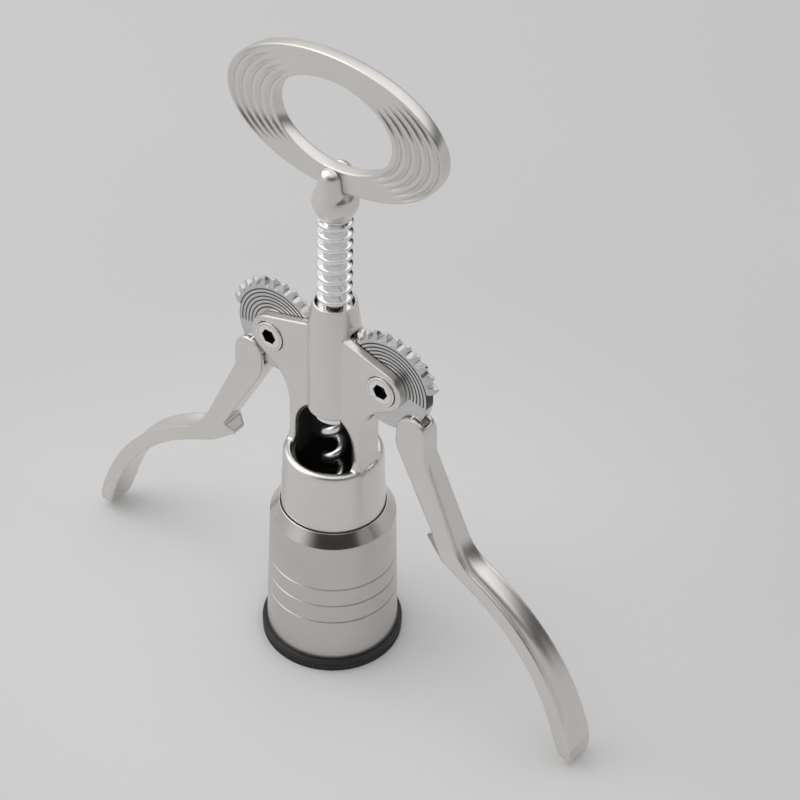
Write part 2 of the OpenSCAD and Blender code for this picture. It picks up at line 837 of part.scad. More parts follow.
// Pin driven in from the back, which stops short of the hub's front
module hub_pin() {
    color([0.7, 0.7, 0.7])
        bar_y(0, hub_pin_z, hub_pin_r, -spindle_r - 1, hub_low_r - 0.4);
}

module handle_ring() {
    color([0.72, 0.71, 0.7])
        upright(-handle_t / 2, handle_t / 2)
            difference() {
                translate([0, handle_z])
                    polygon(ellipse(handle_a, handle_b, 96));
                translate([0, hole_z])
                    polygon(ellipse(hole_a, hole_b, 72));
            }
}

// ---- Levers, drawn for the right side ----

// Half the angle that a tooth fills at radius r
function involute(a) = tan(a) * 180 / PI - a;
function tooth_half(r) =
    (pitch - tooth_play) / 4 / gear_r * 180 / PI
    + involute(tooth_pa) - involute(acos(gear_base_r / max(r, gear_base_r)));

// Outline of one tooth centred on the angle a, from one root to the other
function tooth(a) =
    let (steps = 4, rise = (gear_tip_r - gear_base_r) / steps)
    concat(
        [polar(gear_root_r, a - tooth_half(gear_base_r))],
        [for (i = [0:steps]) polar(gear_base_r + i * rise, a - tooth_half(gear_base_r + i * rise))],
        [for (i = [steps:-1:0]) polar(gear_base_r + i * rise, a + tooth_half(gear_base_r + i * rise))],
        [polar(gear_root_r, a + tooth_half(gear_base_r))]
    );
function polar(r, a) = r * [cos(a), sin(a)];

module gear() {
    first = 180 - (teeth_over - 0.5) * tooth_step;
    difference() {
        intersection() {
            upright(-gear_t / 2, gear_t / 2)
                translate([pivot_x, pivot_z]) {
                    circle(r = gear_disc_r);
                    polygon(concat(
                        [[0, 0]],
                        [for (i = [0:teeth_over + teeth_under - 1]) each tooth(first + i * tooth_step)]
                    ));
                }
            translate([pivot_x, 0, pivot_z])
                gear_blank();
        }
        bar_y(pivot_x, pivot_z, sleeve_r + run_fit, -gear_t, gear_t);
        lever_pin_places()
            bar_y(0, 0, lever_pin_r + seat_fit, -gear_t, gear_t);
    }
}

// Disc whose rim is bevelled on both faces, which points the teeth
module gear_blank() {
    rotate([90, 0, 0])
        rotate_extrude()
            polygon([
                [0, -gear_t / 2],
                [gear_root_r + 0.3, -gear_t / 2],
                [gear_tip_r + 0.05, -tooth_edge / 2],
                [gear_tip_r + 0.05, tooth_edge / 2],
                [gear_root_r + 0.3, gear_t / 2],
                [0, gear_t / 2]
            ]);
}

// Puts its children where the two pins join the arm's head and the gear
module lever_pin_places() {
    reach = gear_disc_r - 2.3;
    spread = 10.5;
    for (side = [-1, 1]) {
        a = -head_angle + side * spread;
        translate([pivot_x + reach * cos(a), 0, pivot_z + reach * sin(a)])
            children();
    }
}

// Corner points of the arm, worked out from the pivot, the ledge, the tip and the slopes
function downhill(slope) = [cos(slope), -sin(slope)];
function uphill_normal(slope) = [sin(slope), cos(slope)];
head = [pivot_x + head_reach * cos(head_angle), pivot_z - head_reach * sin(head_angle)];
leg_dir = downhill(leg_slope);
grip_dir = downhill(grip_slope);
tip_dir = downhill(tip_slope);
ledge_in = [pivot_x + ledge_out, pivot_z - ledge_down];
ledge_tip = ledge_in + [-3.5, -3.3];
grip_start = ledge_in + [4.3, -9.5];
leg_outer = head + [head_r, -1.25 * head_r];
leg_inner = head + [-head_r, -1.2 * head_r];
tip_half = grip_t / 2 / sin(tip_slope);
tip_in = [tip_x - tip_half, tip_z];
tip_out = [tip_x + tip_half, tip_z];
grip_over = grip_start + grip_t * uphill_normal(grip_slope);
grip_bend = meet(grip_start, grip_dir, tip_in, tip_dir);
outer_bend = meet(grip_over, grip_dir, tip_out, tip_dir);
knee = meet(leg_outer, leg_dir, grip_over, grip_dir);
half_bend = (tip_slope - grip_slope) / 2;
bend_centre = grip_bend + unit(tip_dir - grip_dir) * grip_bend_r / cos(half_bend);
knee_r = 20;
tip_round = 2.6;
tip_corner = 3.2;

module arm_2d() {
    polygon(rounded([
        [head.x - head_r, head.y + head_r, head_r - 0.01],
        [head.x + head_r, head.y + head_r, head_r - 0.01],
        [leg_outer.x, leg_outer.y, 8],
        [knee.x, knee.y, knee_r],
        [outer_bend.x, outer_bend.y, grip_bend_r + grip_t],
        [tip_out.x, tip_out.y, tip_round],
        [tip_in.x, tip_in.y, tip_round],
        [grip_bend.x, grip_bend.y, grip_bend_r],
        [grip_start.x, grip_start.y, 3],
        [ledge_in.x, ledge_in.y, 0],
        [leg_inner.x, leg_inner.y, 8]
    ]));
}

// Half the arm's thickness at height z
function arm_half(z) = arm_head_t / 2 + (head.y - z) * tan(arm_flare);

// The arm's faces, which lean apart towards the floor and are rounded off at the tip
module arm_width() {
    top_z = head.y + head_r + 1;
    rotate([90, 0, 90])
        linear_extrude(tip_x + grip_t)
            polygon(rounded([
                [arm_half(top_z), top_z, 0],
                [-arm_half(top_z), top_z, 0],
                [-arm_half(tip_z), tip_z - eps, tip_corner],
                [arm_half(tip_z), tip_z - eps, tip_corner]
            ]));
}

// Ledge at the knee, full width at the arm and narrower at its tip
module ledge() {
    wide = arm_half(ledge_in.y);
    lean = 2;
    hull() {
        upright(-wide, wide)
            polygon([ledge_in, ledge_in + [1.5, 0], grip_start + [1.5, 1], grip_start]);
        upright(lean - wide, wide - lean)
            polygon([ledge_tip, ledge_tip + [0.9, 0.4], ledge_tip + [1.2, -1.6], ledge_tip + [0.3, -1]]);
    }
}

// Round-bottomed trough along the outer edge of the arm's straight leg
module trough() {
    outward = uphill_normal(leg_slope) * (trough_r - trough_d);
    run_out = 8;
    run = trough_d / sin(run_out);
    from = leg_outer + leg_dir * (run + 2) + outward;
    to = knee - leg_dir * (run + knee_r * tan((leg_slope - grip_slope) / 2)) + outward;
    translate([from.x, 0, from.y])
        rotate([0, 90 + leg_slope, 0]) {
            cylinder(r = trough_r, h = norm(to - from));
            sphere(r = trough_r);
            rotate([0, 180 + run_out, 0])
                cylinder(r = trough_r, h = run);
            translate([0, 0, norm(to - from)]) {
                sphere(r = trough_r);
                rotate([0, -run_out, 0])
                    cylinder(r = trough_r, h = run);
            }
        }
}

// Shallow hollow along the grip's outer face, from the knee to the tip
module grip_hollow() {
    reach = grip_bend_r + grip_t - hollow_d + hollow_r;
    low = bend_centre + 1.3 * reach * downhill(90 - tip_slope - 3);
    high = bend_centre + 1.3 * reach * [sin(grip_slope - 3), cos(grip_slope - 3)];
    intersection() {
        translate([bend_centre.x, 0, bend_centre.y])
            rotate([90, 0, 0])
                rotate_extrude()
                    translate([reach, 0])
                        circle(r = hollow_r);
        upright(-hollow_r, hollow_r)
            polygon([bend_centre, low, [low.x, high.y], high]);
    }
}

module arm() {
    front = slot_half + 1.1;
    difference() {
        union() {
            intersection() {
                upright(-arm_half(0), arm_half(0))
                    arm_2d();
                arm_width();
            }
            ledge();
        }
        bar_y(pivot_x, pivot_z, arm_slot_r, -slot_half, slot_half);
        trough();
        grip_hollow();
        lever_pin_places()
            bar_y(0, 0, lever_pin_r + seat_fit, -front, arm_head_t);
    }
}

module lever_pins() {
    lever_pin_places()
        bar_y(0, 0, lever_pin_r, -slot_half - 0.9, arm_head_t / 2 - 0.4);
}

module right_gear() {
    color([0.74, 0.74, 0.74])
        gear();
}

module left_gear() {
    color([0.74, 0.74, 0.74])
        mirror([1, 0, 0])
            gear();
}

module right_arm() {
    color([0.7, 0.69, 0.68])
        arm();
}

module left_arm() {
    color([0.7, 0.69, 0.68])
        mirror([1, 0, 0])
            arm();
}

module right_lever_pins() {
    color([0.6, 0.6, 0.6])
        lever_pins();
}

module left_lever_pins() {
    color([0.6, 0.6, 0.6])
        mirror([1, 0, 0])
            lever_pins();
}

body();
neck_guide();
friction_ring();
pivot_sleeves();
pivot_screws();
bell();
foot_ring();
rack();
stop_collar();
thrust_washer();
spindle();
worm();
hub();
hub_pin();
handle_ring();
right_gear();
right_arm();
right_lever_pins();
left_gear();
left_arm();
left_lever_pins();
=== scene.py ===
"""Looks of the wing corkscrew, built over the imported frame. Metres, +Z up."""

from math import cos, pi, radians, sin, sqrt, tan

import bmesh
import bpy
from mathutils import Matrix, Vector


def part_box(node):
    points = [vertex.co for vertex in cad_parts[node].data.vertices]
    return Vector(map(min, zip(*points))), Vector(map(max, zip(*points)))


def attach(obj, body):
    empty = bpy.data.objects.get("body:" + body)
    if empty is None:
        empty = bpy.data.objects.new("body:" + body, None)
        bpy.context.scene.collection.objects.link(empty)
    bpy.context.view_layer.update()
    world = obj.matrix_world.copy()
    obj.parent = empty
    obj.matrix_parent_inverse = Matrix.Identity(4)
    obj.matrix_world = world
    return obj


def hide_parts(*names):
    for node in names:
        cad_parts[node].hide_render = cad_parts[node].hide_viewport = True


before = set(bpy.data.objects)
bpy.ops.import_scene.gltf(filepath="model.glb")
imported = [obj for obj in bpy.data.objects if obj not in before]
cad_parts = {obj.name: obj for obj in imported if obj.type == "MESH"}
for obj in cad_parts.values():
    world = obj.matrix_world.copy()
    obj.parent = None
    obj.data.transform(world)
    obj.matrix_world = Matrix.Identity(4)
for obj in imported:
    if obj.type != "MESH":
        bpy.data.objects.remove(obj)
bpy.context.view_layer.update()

MM = 0.001

# ---- Camera ----
# Where the photograph was taken from, as fitted to the object's own shape
CAMERA_AZIMUTH = radians(38.097)
CAMERA_REACH = 0.57987
CAMERA_HEIGHT = 0.57996
CAMERA_YAW = radians(2.131)
CAMERA_PITCH = radians(39.489)
CAMERA_ROLL = radians(1.802)
FOCAL_PIXELS = 2297.3
PHOTO_PIXELS = 800
SENSOR_MM = 36


def make_camera():
    data = bpy.data.cameras.new("camera")
    data.sensor_width = SENSOR_MM
    data.lens = FOCAL_PIXELS / PHOTO_PIXELS * SENSOR_MM
    data.clip_start = 0.01
    data.clip_end = 10
    camera = linked("camera", data)

    a = CAMERA_AZIMUTH
    back = Vector((-sin(a), cos(a), 0))
    side = Vector((cos(a), sin(a), 0))
    up = Vector((0, 0, 1))
    ahead = cos(CAMERA_YAW) * back + sin(CAMERA_YAW) * side
    right = cos(CAMERA_YAW) * side - sin(CAMERA_YAW) * back
    look = cos(CAMERA_PITCH) * ahead - sin(CAMERA_PITCH) * up
    head = cos(CAMERA_PITCH) * up + sin(CAMERA_PITCH) * ahead
    x = cos(CAMERA_ROLL) * right + sin(CAMERA_ROLL) * head
    y = cos(CAMERA_ROLL) * head - sin(CAMERA_ROLL) * right
    place = Matrix((x, y, -look)).transposed().to_4x4()
    place.translation = Vector((CAMERA_REACH * sin(a), -CAMERA_REACH * cos(a), CAMERA_HEIGHT))
    camera.matrix_world = place
    bpy.context.scene.camera = camera


# ---- Material helpers ----


class Graph:
    """A node tree with a few short ways to add nodes and wire them."""

    def __init__(self, tree):
        self.tree = tree

    def node(self, kind, inputs=None, **settings):
        """Adds a node; each input is a value or the socket that it comes from."""
        node = self.tree.nodes.new(kind)
        for name, value in settings.items():
            setattr(node, name, value)
        for socket, value in (inputs or {}).items():
            if isinstance(value, bpy.types.NodeSocket):
                self.tree.links.new(value, node.inputs[socket])
            else:
                node.inputs[socket].default_value = value
        return node

    def math(self, operation, *values):
        inputs = dict(enumerate(values))
        return self.node("ShaderNodeMath", inputs, operation=operation).outputs[0]

    def vector(self, operation, *values):
        inputs = dict(enumerate(values))
        return self.node("ShaderNodeVectorMath", inputs, operation=operation).outputs

    def split(self, vector):
        return self.node("ShaderNodeSeparateXYZ", {0: vector}).outputs

    def ranged(self, value, start, end, low, high, **settings):
        inputs = dict(enumerate((value, start, end, low, high)))
        return self.node("ShaderNodeMapRange", inputs, **settings).outputs["Result"]

    def step(self, value, start, end, low=0.0, high=1.0):
        """Smooth change from low at start to high at end."""
        return self.ranged(value, start, end, low, high, interpolation_type="SMOOTHSTEP")

    def between(self, factor, first, second):
        """Number that goes from first to second as factor goes from 0 to 1."""
        return self.node("ShaderNodeMix", {0: factor, 2: first, 3: second}).outputs[0]


class Material(Graph):
    """Graph of a new material, with what feeds its shader."""

    def __init__(self, name, **shader):
        self.material = bpy.data.materials.new(name)
        self.material.use_nodes = True
        super().__init__(self.material.node_tree)
        self.shader = self.tree.nodes["Principled BSDF"]
        for socket, value in shader.items():
            self.shader.inputs[socket.replace("_", " ")].default_value = value
        self.coordinates = self.node("ShaderNodeTexCoord").outputs["Object"]

    def stretched(self, x, y, z):
        """Object coordinates scaled on each axis, which draws a texture out on the small ones."""
        return self.vector("MULTIPLY", self.coordinates, (x, y, z))[0]

    def noise(self, vector, scale, detail=3.0):
        inputs = {"Vector": vector, "Scale": scale, "Detail": detail, "Roughness": 0.5}
        return self.node("ShaderNodeTexNoise", inputs).outputs["Fac"]

    def span(self, noise, low, high):
        """Carries the middle of a noise's range over to low and high."""
        return self.ranged(noise, 0.3, 0.7, low, high)

    def mix(self, factor, first, second):
        """Colour that goes from first to second as factor goes from 0 to 1."""
        inputs = {0: factor, 6: first, 7: second}
        return self.node("ShaderNodeMix", inputs, data_type="RGBA").outputs[2]

    def rounded(self, radius):
        """Normal that looks as if every edge were rounded to the radius."""
        return self.node("ShaderNodeBevel", {"Radius": radius}, samples=4).outputs["Normal"]

    def bump(self, height, strength, distance, under=None):
        inputs = {"Height": height, "Strength": strength, "Distance": distance}
        if under:
            inputs["Normal"] = under
        return self.node("ShaderNodeBump", inputs).outputs["Normal"]

    def feed(self, socket, value):
        self.tree.links.new(value, self.shader.inputs[socket])


def distance(material, dx, dz):
    """How far a point is from where its offsets dx and dz are 0."""
    squares = [material.math("POWER", d, 2.0) for d in (dx, dz)]
    return material.math("SQRT", material.math("ADD", *squares))


def radial(material, x, z):
    """Distance from an axis along Y through (x, z), and the two offsets from it."""
    part = material.split(material.coordinates)
    dx = material.math("SUBTRACT", part[0], x)
    dz = material.math("SUBTRACT", part[2], z)
    return distance(material, dx, dz), dx, dz


def grey(level, warmth=0.012):
    """Opaque grey, with a little more red and less blue as warmth grows."""
    return (level + warmth, level, level - warmth, 1)


# ---- Materials ----


def satin_casting():
    m = Material("satin_casting", Metallic=1.0, Roughness=0.3)
    cloud = m.noise(m.coordinates, 45.0)
    grain = m.noise(m.coordinates, 2600.0, 2.0)
    m.feed("Roughness", m.span(cloud, 0.26, 0.34))
    m.feed("Base Color", m.mix(cloud, grey(0.69, 0.028), grey(0.76, 0.028)))
    m.feed("Normal", m.bump(grain, 0.28, 0.00005, m.rounded(0.0006)))
    return m.material


# Height of the bell's bright chamfered top
BELL_CHAMFER = 4.4 * MM


def turned_bell():
    """Satin wall with fine lines round it, and a brighter chamfer."""
    m = Material("turned_bell", Metallic=1.0, Roughness=0.34)
    lines = m.noise(m.stretched(20, 20, 6000), 1.0, 2.0)
    cloud = m.noise(m.coordinates, 60.0)
    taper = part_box("bell")[1].z - BELL_CHAMFER
    chamfer = m.step(m.split(m.coordinates)[2], taper, taper + 0.3 * MM)
    side_look = m.span(lines, 0.27, 0.36)
    top_look = m.span(lines, 0.17, 0.23)
    m.feed("Roughness", m.between(chamfer, side_look, top_look))
    m.feed("Base Color", m.mix(cloud, grey(0.56, 0.022), grey(0.62, 0.022)))
    m.feed("Normal", m.bump(lines, 0.25, 0.00003, m.rounded(0.00025)))
    return m.material


def polished(name="polished", low=0.08, high=0.16):
    """Bright steel whose roughness wanders between low and high."""
    m = Material(name, Metallic=1.0, Roughness=low)
    cloud = m.noise(m.coordinates, 160.0)
    m.feed("Base Color", m.mix(cloud, grey(0.84, 0.0), grey(0.9, 0.0)))
    m.feed("Roughness", m.span(cloud, low, high))
    m.feed("Normal", m.bump(cloud, 0.05, 0.0001, m.rounded(0.0002)))
    return m.material


# Turned lines of a gear plate, their grooves painted dark as shade: radius of the first, step
# to the next, how many, and where their walls start and end, from the middle of a line
GROOVE_R = 8.9 * MM
GROOVE_STEP = 1.33 * MM
GROOVES = 6
GROOVE_WALL = (0.34 * MM, 0.12 * MM)
# Lower edge of the half that they cover: its fall towards the outside, and where the lines
# fade in over it
GROOVE_FALL = 0.12
GROOVE_FADE = (-0.3 * MM, 0.6 * MM)


def gear_plate(name, x, z):
    """Bright plate with fine turned lines over its toothed half, their grooves painted dark as
    shade.
    """
    m = Material(name, Metallic=1.0, Roughness=0.2)
    r, dx, dz = radial(m, x, z)
    turns = m.math("DIVIDE", m.math("SUBTRACT", r, GROOVE_R), GROOVE_STEP)
    off = m.math("ABSOLUTE", m.math("SUBTRACT", turns, m.math("ROUND", turns)))
    off = m.math("MULTIPLY", off, GROOVE_STEP)
    shaded_groove = m.step(off, *GROOVE_WALL)
    first, last = m.step(turns, -0.5, -0.4), m.step(turns, GROOVES - 0.4, GROOVES - 0.5)
    inside = m.math("MULTIPLY", first, last)
    outward = dx if x > 0 else m.math("MULTIPLY", dx, -1.0)
    over = m.step(m.math("ADD", dz, m.math("MULTIPLY", outward, GROOVE_FALL)), *GROOVE_FADE)
    shaded_groove = m.math("MULTIPLY", shaded_groove, m.math("MULTIPLY", inside, over))
    scratch = m.noise(m.coordinates, 500.0)
    m.feed("Roughness", m.span(scratch, 0.17, 0.26))
    # The turned lines are painted near-black: painted shade in the grooves.
    m.feed("Base Color", m.mix(shaded_groove, grey(0.64, 0.0), grey(0.07, 0.0)))
    height = m.math("SUBTRACT", 1.0, shaded_groove)
    m.feed("Normal", m.bump(height, 0.6, 0.0002, m.rounded(0.0004)))
    return m.material


# Radius of a screw head, of its turned line (painted darker as shade) and of its socket, where
# the line's walls start and end, and how far below the head's face the socket's painted shade
# comes in
SCREW_HEAD_R = 5.3 * MM
SCREW_LINE_R = 4.5 * MM
SOCKET_R = 3.0 * MM
SCREW_LINE_WALL = (0.22 * MM, 0.05 * MM)
SOCKET_SHADE_SPAN = (0.15 * MM, 0.5 * MM)


def screw_head(x, z):
    """Satin head with a turned line near its rim painted darker as shade, and a hexagon socket
    painted near-black as shade.
    """
    m = Material("screw_head", Metallic=1.0, Roughness=0.26)
    part = m.split(m.coordinates)
    dx = m.math("SUBTRACT", m.math("ABSOLUTE", part[0]), x)
    dz = m.math("SUBTRACT", part[2], z)
    r = distance(m, dx, dz)
    shaded_line = m.step(m.math("ABSOLUTE", m.math("SUBTRACT", r, SCREW_LINE_R)), *SCREW_LINE_WALL)
    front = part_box("pivot_screws")[0].y
    below = m.step(part[1], *[front + depth for depth in SOCKET_SHADE_SPAN])
    # Painted shade: the socket turns near-black below the head's face.
    socket_shade = m.math("MULTIPLY", m.step(r, SOCKET_R + 0.1 * MM, SOCKET_R), below)
    grain = m.noise(m.coordinates, 2600.0, 2.0)
    # The turned line is painted darker and the socket near-black, both as painted shade.
    m.feed("Base Color", m.mix(socket_shade, m.mix(shaded_line, grey(0.86), grey(0.5)), grey(0.012, 0.0)))
    m.feed("Roughness", m.span(grain, 0.22, 0.32))
    m.feed("Normal", m.bump(m.math("SUBTRACT", 1.0, shaded_line), 0.4, 0.0001, m.rounded(0.0004)))
    return m.material


def black_rubber():
    m = Material("black_rubber", Roughness=0.5)
    grain = m.noise(m.coordinates, 900.0)
    m.feed("Base Color", m.mix(grain, (0.006, 0.006, 0.0065, 1), (0.011, 0.011, 0.0115, 1)))
    m.feed("Roughness", m.span(grain, 0.38, 0.6))
    m.feed("Normal", m.bump(grain, 0.2, 0.0001))
    return m.material


def black_plastic():
    m = Material("black_plastic", Roughness=0.35)
    grain = m.noise(m.coordinates, 1500.0)
    up = m.split(m.node("ShaderNodeNewGeometry").outputs["Normal"])[2]
    black = m.mix(grain, (0.024, 0.024, 0.023, 1), (0.036, 0.036, 0.035, 1))
    # Faces that point up are painted paler: a painted highlight from the light overhead.
    m.feed("Base Color", m.mix(m.step(up, 0.5, 0.95), black, (0.12, 0.118, 0.115, 1)))
    m.feed("Roughness", m.span(grain, 0.3, 0.45))
    m.feed("Normal", m.bump(grain, 0.1, 0.00005, m.rounded(0.0006)))
    return m.material


# ---- Mesh helpers ----


def linked(name, data):
    """New object of the scene with the given mesh, camera or lamp."""
    made = bpy.data.objects.new(name, data)
    bpy.context.scene.collection.objects.link(made)
    return made


def show_piece(name, mesh, material, body, node):
    """Smooth-shaded piece that stands for a node and rides on its body."""
    mesh.materials.clear()
    mesh.materials.append(material)
    mesh.polygons.foreach_set("use_smooth", [True] * len(mesh.polygons))
    piece = linked(name, mesh)
    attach(piece, body)
    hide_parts(node)


def add_piece(name, points, faces, material, body, node):
    mesh = bpy.data.meshes.new(name)
    mesh.from_pydata(points, [], faces)
    mesh.update()
    show_piece(name, mesh, material, body, node)


def grid_faces(rows, columns, close_rows=False):
    """Quads of a grid that closes on itself across its columns and, if asked, its rows."""
    faces = []
    for i in range(rows if close_rows else rows - 1):
        for j in range(columns):
            a = i * columns + j
            b = i * columns + (j + 1) % columns
            c = (i + 1) % rows * columns
            faces.append((a, b, c + (j + 1) % columns, c + j))
    return faces


CORNER_STEPS = 4


def rounded_path(corners):
    """Closed outline through corners given as (x, z, radius), with each corner rounded."""
    path = []
    count = len(corners)
    for i, (x, z, radius) in enumerate(corners):
        at = Vector((x, z))
        before = Vector(corners[i - 1][:2]) - at
        after = Vector(corners[(i + 1) % count][:2]) - at
        if radius == 0:
            path.append(at)
            continue
        half = before.angle(after) / 2
        reach = min(radius / tan(half), 0.49 * before.length, 0.49 * after.length)
        p = at + before.normalized() * reach
        q = at + after.normalized() * reach
        for k in range(CORNER_STEPS + 1):
            t = k / CORNER_STEPS
            path.append(p * (1 - t) ** 2 + at * 2 * t * (1 - t) + q * t * t)
    return path


def revolved(path, segments, shape=None):
    """Points of a closed outline turned about Z; shape(angle, r, z) may move each r."""
    points = []
    for p in path:
        for j in range(segments):
            a = 2 * pi * j / segments
            r = shape(a, p.x, p.y) if shape else p.x
            points.append((r * cos(a), r * sin(a), p.y))
    return points


def eased(x):
    """Smooth change from 0 to 1 while x goes from 0 to 1."""
    return x * x * (3 - 2 * x)


# ---- Handle ring ----

HOLE_A = 22.4 * MM
HOLE_B = 15.1 * MM
HOLE_DROP = 0.6 * MM
RING_EDGE = 0.4 * MM
RING_COLUMNS = 288
RING_ROWS = 84
# Rows of points close to an edge, as parts of the ring's width
EDGE_ROWS = (0, 0.003, 0.008, 0.014, 0.022)
# Crescents: places across the width, depth, half width at their points and how much that grows
CRESCENT_PLACES = (0.15, 0.34, 0.53, 0.72, 0.9)
CRESCENT_DEPTH = 0.85 * MM
CRESCENT_POINT = 0.35 * MM
CRESCENT_SWELL = 0.75 * MM
# Cosine of the angle from the ring's long axis where they start, and its rise to full depth
CRESCENT_START = 0.52
CRESCENT_RUN = 0.4


def handle_ring(material):
    """Flat oval ring whose two ends carry crescent grooves, front and back."""
    low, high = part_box("handle_ring")
    a, b = (high.x - low.x) / 2, (high.z - low.z) / 2
    half = (high.y - low.y) / 2
    middle = (high.z + low.z) / 2
    inset = EDGE_ROWS[-1]
    fractions = list(EDGE_ROWS)
    fractions += [inset + (1 - 2 * inset) * k / RING_ROWS for k in range(1, RING_ROWS)]
    fractions += [1 - e for e in reversed(EDGE_ROWS)]

    def face_point(t, s):
        inner = Vector((HOLE_A * cos(t), middle - HOLE_DROP + HOLE_B * sin(t)))
        outer = Vector((a * cos(t), middle + b * sin(t)))
        p = inner.lerp(outer, s)
        width = (outer - inner).length
        edge = min(s, 1 - s) * width
        sink = 0.0
        if edge < RING_EDGE:
            sink = RING_EDGE - sqrt(RING_EDGE**2 - (RING_EDGE - edge) ** 2)
        lobe = eased(min(1.0, max(0.0, (abs(cos(t)) - CRESCENT_START) / CRESCENT_RUN)))
        for place in CRESCENT_PLACES:
            off = (s - place) * width
            reach = CRESCENT_POINT + CRESCENT_SWELL * lobe
            if abs(off) < reach:
                wall = 1 - off / reach if off > 0 else 1 - (off / reach) ** 2
                sink += CRESCENT_DEPTH * lobe * wall
        return p, half - sink

    front, back = [], []
    for s in fractions:
        turns = [face_point(2 * pi * j / RING_COLUMNS, s) for j in range(RING_COLUMNS)]
        front.append([(p.x, -y, p.y) for p, y in turns])
        back.append([(p.x, y, p.y) for p, y in turns])
    rows = front + back[::-1]
    points = [p for row in rows for p in row]
    faces = grid_faces(len(rows), RING_COLUMNS, close_rows=True)
    add_piece("oval_ring", points, faces, material, "screw", "handle_ring")


# ---- Rack ----

TOOTH_MODULE = 1.3 * MM
RACK_R = 4.6 * MM
TOOTH_TOP = 1.15 * MM
TOOTH_FOOT = 1.45 * MM
TOOTH_SLOPE = radians(20)
TOOTH_PLAY = 0.2 * MM
TIP_ROUND = 0.42 * MM
ROOT_ROUND = 0.35 * MM
LOWEST_ROUND = 0.4 * MM
RINGS_OVER = 13
RINGS_UNDER = 3
RACK_BORE = 2.25 * MM
SEAT_R = 3.05 * MM
SEAT_DEPTH = 2.4 * MM
RACK_COLUMNS = 96


def rack_sleeve(material, pivot_z):
    """Sleeve with rounded ring teeth over a plain lower end."""
    low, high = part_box("rack")
    pitch = pi * TOOTH_MODULE
    tip_r, root_r = RACK_R + TOOTH_TOP, RACK_R - TOOTH_FOOT
    half = (pitch - TOOTH_PLAY) / 4
    tip = half - TOOTH_TOP * tan(TOOTH_SLOPE)
    root = half + TOOTH_FOOT * tan(TOOTH_SLOPE)
    plain_z = pivot_z - RINGS_UNDER * pitch
    corners = [
        (RACK_BORE, low.z + SEAT_DEPTH, 0),
        (SEAT_R, low.z + SEAT_DEPTH, 0),
        (SEAT_R, low.z, 0),
        (RACK_R, low.z, 0),
        (RACK_R, plain_z - pitch, 0),
        (tip_r, plain_z - pitch, 0),
        (tip_r, plain_z + tip, LOWEST_ROUND),
        (root_r, plain_z + root, ROOT_ROUND),
    ]
    for k in range(1 - RINGS_UNDER, RINGS_OVER + 1):
        z = pivot_z + k * pitch
        corners += [
            (root_r, z - root, ROOT_ROUND),
            (tip_r, z - tip, TIP_ROUND),
            (tip_r, z + tip, TIP_ROUND),
            (root_r, z + root, ROOT_ROUND),
        ]
    corners += [(root_r, high.z, 0), (RACK_BORE, high.z, 0)]
    path = rounded_path(corners)
    points = revolved(path, RACK_COLUMNS)
    faces = grid_faces(len(path), RACK_COLUMNS, close_rows=True)
    add_piece("ringed_sleeve", points, faces, material, "rack", "rack")


# ---- Worm ----

WORM_WIRE_R = 1.6 * MM
WORM_R = 2.8 * MM
WORM_START_R = 1.2 * MM
WORM_PITCH = 11.3 * MM
WORM_BEND = 1.7 * MM
WORM_TURNS = 3.25
WORM_LEAD_IN = 0.12
WORM_START = 64.8
WORM_POINT = 0.45
# How thin the point gets, as a part of the wire
WORM_TIP = 0.05
# Part of a turn to each side, over which the wire's direction is taken
WORM_NEAR = 0.01
# How much wider the wire is along the spindle's axis than across it
WORM_BLADE = 1.2
WORM_RINGS = 260
WORM_SIDES = 20


def worm_at(t, top):
    """Middle of the wire after t turns down from the spindle's foot."""
    lead = min(1, t / WORM_LEAD_IN)
    r = WORM_START_R + (WORM_R - WORM_START_R) * (1 - cos(pi * lead)) / 2
    slide = t * t / (2 * WORM_LEAD_IN) if t < WORM_LEAD_IN else t - WORM_LEAD_IN / 2
    a = radians(WORM_START - 360 * t)
    z = top - WORM_BEND * sin(pi / 2 * lead) - WORM_PITCH * slide
    return Vector((r * cos(a), r * sin(a), z))


def smooth_worm(material):
    """Slightly flattened wire that leaves the spindle's foot, winds down and comes to a point."""
    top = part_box("worm")[1].z
    points = []
    for i in range(WORM_RINGS + 1):
        t = WORM_TURNS * i / WORM_RINGS
        along = Vector((0, 0, -1))
        if t >= WORM_NEAR:
            along = worm_at(t + WORM_NEAR, top) - worm_at(t - WORM_NEAR, top)
            along.normalize()
        a = radians(WORM_START - 360 * t)
        side = along.cross(Vector((cos(a), sin(a), 0))).normalized()
        up = side.cross(along)
        wire = WORM_WIRE_R * min(1, WORM_TIP + (1 - WORM_TIP) * (WORM_TURNS - t) / WORM_POINT)
        for j in range(WORM_SIDES):
            b = 2 * pi * j / WORM_SIDES
            points.append(worm_at(t, top) + wire * (WORM_BLADE * cos(b) * side + sin(b) * up))
    faces = grid_faces(WORM_RINGS + 1, WORM_SIDES)
    faces.append(tuple(range(WORM_SIDES - 1, -1, -1)))
    faces.append(tuple(WORM_RINGS * WORM_SIDES + j for j in range(WORM_SIDES)))
    add_piece("wound_worm", points, faces, material, "screw", "worm")


# ---- Foot ring ----

FOOT_RIBS = 120
RIB_DEPTH = 0.35 * MM
COLUMNS_PER_RIB = 5
BEAD_HEIGHT = 2.1 * MM
SOLE = 1.6 * MM
# The lip inside the bell: its thickness, its height over the sole and its play in the bell
LIP_WIDTH = 1.5 * MM
LIP_HEIGHT = 1.5 * MM
LIP_PLAY = 0.03 * MM
BELL_WALL = 3.0 * MM


